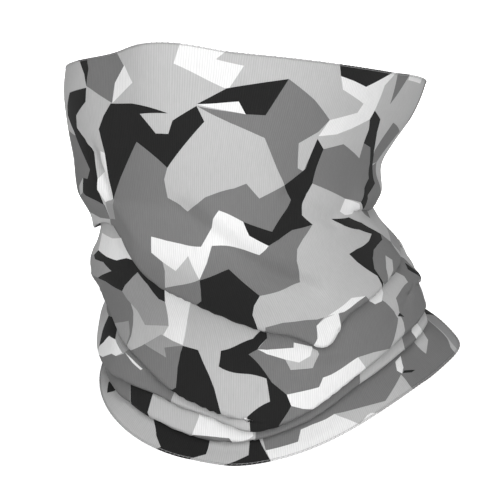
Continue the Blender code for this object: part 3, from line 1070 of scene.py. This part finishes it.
def seam_stitches(threads):
    """Flatlock cover threads down the centre back, laid on the cloth."""
    count = threads.seam_stitches * SEAM_STEPS
    v = np.linspace(*SEAM_ENDS, count)
    wide = threads.seam_width / MM / FLAT_ROUND / 2
    sweep = np.array([-1.0, 0.0, 1.0, 0.0])[np.arange(count) % SEAM_STEPS] * wide
    worn = grid()
    normals = grid_normals(worn)
    outward = outward_sign(worn, normals)
    strands = []
    for u in (sweep % 1.0, np.full(count, wide), np.full(count, 1 - wide)):
        points = at_cloth(worn, u, v) * MM
        lean = at_cloth(normals, u, v)
        strands.append((points + lean * threads.radius * outward, threads.radius, False))
    return strands


def outward_sign(worn, normals):
    """Whether grid normals point out of the tube (1) or in (-1), told at the face."""
    row, column = 30, GRID_COLUMNS // 2
    return 1.0 if normals[row, column][:2].dot(worn[row, column][:2]) > 0 else -1.0


# ---- settings ----------------------------------------------------------------------
def tone(name, what, value):
    """A setting from 0 to 1."""
    return bpy.props.FloatProperty(
        name=name, description=what, default=value, subtype="FACTOR", min=0.0, max=1.0)


def span(name, what, value, **more):
    """A setting in metres."""
    return bpy.props.FloatProperty(
        name=name, description=what, default=value, unit="LENGTH", **more)


def turn(name, what, degrees):
    """A setting that is an angle."""
    return bpy.props.FloatProperty(
        name=name, description=what, default=math.radians(degrees), subtype="ANGLE")


def amount(name, what, value):
    return bpy.props.FloatProperty(name=name, description=what, default=value)


def whole(name, what, value):
    return bpy.props.IntProperty(name=name, description=what, default=value)


class GaiterCloth(bpy.types.PropertyGroup):
    thickness: span("Thickness", "Thickness of the knit", 0.0007, precision=5)
    wale: amount("Rib spacing", "Spacing of the knit's ribs, in millimetres", 1.0)
    # Painted shade: how far the knit's colour is darkened between the ribs
    painted_rib_shade: tone("Rib shade", "How much darker the knit is between ribs", 0.13)
    black: tone("Black ink", "Tone of the black patches", 0.016)
    mid_grey: tone("Mid grey ink", "Tone of the mid grey patches", 0.18)
    grey: tone("Grey ink", "Tone of the grey patches", 0.31)
    light_grey: tone("Light grey ink", "Tone of the light grey patches", 0.47)
    white: tone("White", "Tone of the white patches", 0.78)


class GaiterThreads(bpy.types.PropertyGroup):
    radius: span("Thread radius", "Radius of the sewing thread", 0.00009, precision=5)
    edge_loops: whole("Edge loops", "Overlock loops round one edge", 220)
    edge_depth: span(
        "Edge depth", "How far the overlock reaches onto the cloth", 0.0007, precision=5)
    seam_width: span("Seam width", "Width of the closing seam", 0.005, precision=5)
    seam_stitches: whole("Seam stitches", "Stitches down the closing seam", 150)
    edge_tone: tone("Edge tone", "Tone of the edge thread", 0.34)
    seam_tone: tone("Seam tone", "Tone of the seam thread", 0.45)


class GaiterStage(bpy.types.PropertyGroup):
    azimuth: turn(
        "Azimuth", "Camera's turn from the wearer's front, to their left", 24)
    elevation: turn("Elevation", "Camera's height angle", 5)
    distance: span("Distance", "Camera to the middle of the gaiter", 2.5)
    view_width: span("View width", "Width seen at the gaiter", 0.2525)
    floor_drop: span("Floor drop", "Floor below the hem", 0.30)
    floor_tone: tone("Floor tone", "Tone of the floor", 0.9)
    sky: amount("Fill light", "Strength of the even light from all round", 0.16)
    key: amount("Key light", "Power of the large front light", 22.3)


# ---- pieces ------------------------------------------------------------------------
class GAITER_OT_cloth(bpy.types.Operator):
    """Build the printed knit tube as it is worn"""
    bl_idname = "gaiter.cloth"
    bl_label = "Printed knit tube"

    def execute(self, context):
        ob = cloth_object(context.scene.gaiter_cloth)
        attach(ob, "root")
        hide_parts("fabric_tube")
        return {"FINISHED"}


class GAITER_OT_edges(bpy.types.Operator):
    """Sew the overlock threads round both edges"""
    bl_idname = "gaiter.edges"
    bl_label = "Edge overlock"

    def execute(self, context):
        threads = context.scene.gaiter_threads
        cloth = context.scene.gaiter_cloth
        material = thread("edge_thread", threads.edge_tone)
        for name, v, node in (
            ("top_edge_stitches", 0.0, "top_edge_overlock"),
            ("hem_stitches", 1.0, "bottom_edge_overlock"),
        ):
            ob = thread_object(name, edge_stitches(v, threads, cloth), material)
            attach(ob, "root")
            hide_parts(node)
        return {"FINISHED"}


class GAITER_OT_seam(bpy.types.Operator):
    """Sew the closing seam down the centre back"""
    bl_idname = "gaiter.seam"
    bl_label = "Closing seam"

    def execute(self, context):
        threads = context.scene.gaiter_threads
        ob = thread_object(
            "closing_seam_stitches", seam_stitches(threads),
            thread("seam_thread", threads.seam_tone),
        )
        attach(ob, "root")
        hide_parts("back_seam_flatlock")
        return {"FINISHED"}


class GAITER_OT_declare(bpy.types.Operator):
    """Does nothing; the scene is left as it is"""
    bl_idname = "gaiter.declare"
    bl_label = "Cloth facts"

    def execute(self, context):
        return {"FINISHED"}


def aimed(ob, target):
    ob.rotation_euler = (Vector(target) - ob.location).to_track_quat("-Z", "Y").to_euler()


def area_light(name, place, target, size, power_w):
    data = bpy.data.lights.new(name, "AREA")
    data.shape = "SQUARE"
    data.size = size
    data.energy = power_w
    ob = link(bpy.data.objects.new(name, data))
    ob.location = place
    aimed(ob, target)


FLOOR_HALF = 6.0
GLOW_FROM = 1.2          # the floor brightens from this far off
GLOW_OVER = 0.6
GLOW_NEAR = 0.1          # and shows this much light of its own under the piece
WALL_RADIUS = 5.0
WALL_HEIGHT = 0.8
AIM = (0.0025, -0.0046)  # what the camera looks at, off the middle: across, up
# Each light: place from the aim, size, share of the key light's power.
LIGHTS = {
    "key": ((0.85, -1.55, 0.8), 1.3, 1.0),
    "top": ((0.4, -1.0, 1.8), 1.0, 0.4),
    "fill": ((-1.2, -1.2, 0.3), 1.2, 0.04),
}


def pale_floor(z, tone):
    size = FLOOR_HALF
    mesh = bpy.data.meshes.new("floor")
    mesh.from_pydata(
        [(-size, -size, z), (size, -size, z), (size, size, z), (-size, size, z)],
        [], [(0, 1, 2, 3)],
    )
    paper = Shader("pale_floor")
    place = paper.node("ShaderNodeTexCoord", {}, {}, 3)
    grain = paper.noise(place, 3.0, 2.0) * 0.02 + (tone - 0.01)
    away = paper.node("ShaderNodeVectorMath", {"operation": "LENGTH"}, {0: place}, 1)
    glow = ((away - GLOW_FROM) / GLOW_OVER).held() * (1 - GLOW_NEAR) + GLOW_NEAR
    paper.set(
        Base_Color=paper.grey(grain), Roughness=0.95, Specular_IOR_Level=0.1,
        Emission_Color=paper.grey(glow), Emission_Strength=1.0,
    )
    mesh.materials.append(paper.material)
    return link(bpy.data.objects.new("floor", mesh))


def studio_wall(z):
    """The studio's lit white wall, all round and far off."""
    mesh = bpy.data.meshes.new("studio_wall")
    shape = bmesh.new()
    bmesh.ops.create_cone(
        shape, cap_ends=False, segments=96, radius1=WALL_RADIUS, radius2=WALL_RADIUS,
        depth=WALL_HEIGHT,
    )
    bmesh.ops.translate(shape, verts=shape.verts, vec=(0, 0, z + WALL_HEIGHT / 2))
    shape.to_mesh(mesh)
    shape.free()
    paint = Shader("white_wall")
    paint.set(
        Base_Color=(0.8, 0.8, 0.8, 1.0), Roughness=0.95, Specular_IOR_Level=0.0,
        Emission_Color=(1.0, 1.0, 1.0, 1.0), Emission_Strength=1.0,
    )
    mesh.materials.append(paint.material)
    return link(bpy.data.objects.new("studio_wall", mesh))


class GAITER_OT_stage(bpy.types.Operator):
    """Set the floor, the lights and the camera"""
    bl_idname = "gaiter.stage"
    bl_label = "Stage"

    def execute(self, context):
        stage = context.scene.gaiter_stage
        low, high = CAD_BOUNDS
        z = low[2] - stage.floor_drop
        pale_floor(z, stage.floor_tone)
        studio_wall(z)
        middle = Vector((AIM[0], 0.0, (low[2] + high[2]) / 2 + AIM[1]))
        for name, (place, size, share) in LIGHTS.items():
            area_light(name, middle + Vector(place), middle, size, stage.key * share)
        world = bpy.data.worlds.new("studio")
        world.use_nodes = True
        sky = world.node_tree.nodes["Background"]
        sky.inputs["Color"].default_value = (1, 1, 1, 1)
        sky.inputs["Strength"].default_value = stage.sky
        context.scene.world = world
        a, e = stage.azimuth, stage.elevation
        back = Vector((math.sin(a) * math.cos(e), -math.cos(a) * math.cos(e), math.sin(e)))
        data = bpy.data.cameras.new("camera")
        camera = link(bpy.data.objects.new("camera", data))
        camera.location = middle + back * stage.distance
        aimed(camera, middle)
        data.lens = data.sensor_width * stage.distance / stage.view_width
        context.scene.camera = camera
        context.scene.view_settings.view_transform = "Standard"
        return {"FINISHED"}


class GAITER_PT_panel(bpy.types.Panel):
    bl_idname = "GAITER_PT_panel"
    bl_label = "Neck gaiter"
    bl_space_type = "VIEW_3D"
    bl_region_type = "UI"
    bl_category = "Gaiter"

    def draw(self, context):
        for group, settings in (
            (context.scene.gaiter_cloth, GaiterCloth),
            (context.scene.gaiter_threads, GaiterThreads),
            (context.scene.gaiter_stage, GaiterStage),
        ):
            for name in settings.__annotations__:
                self.layout.prop(group, name)
        for operator in OPERATORS:
            self.layout.operator(operator.bl_idname)


GROUPS = (
    ("gaiter_cloth", GaiterCloth),
    ("gaiter_threads", GaiterThreads),
    ("gaiter_stage", GaiterStage),
)
OPERATORS = (
    GAITER_OT_cloth, GAITER_OT_edges, GAITER_OT_seam, GAITER_OT_declare, GAITER_OT_stage,
)


def register():
    for name, group in GROUPS:
        bpy.utils.register_class(group)
        setattr(bpy.types.Scene, name, bpy.props.PointerProperty(type=group))
    for operator in OPERATORS:
        bpy.utils.register_class(operator)
    bpy.utils.register_class(GAITER_PT_panel)


def unregister():
    bpy.utils.unregister_class(GAITER_PT_panel)
    for operator in reversed(OPERATORS):
        bpy.utils.unregister_class(operator)
    for name, group in reversed(GROUPS):
        delattr(bpy.types.Scene, name)
        bpy.utils.unregister_class(group)


def main():
    register()
    bpy.ops.gaiter.cloth()
    bpy.ops.gaiter.edges()
    bpy.ops.gaiter.seam()
    bpy.ops.gaiter.declare()
    bpy.ops.gaiter.stage()
    bpy.context.view_layer.update()


if __name__ == "__main__":
    main()
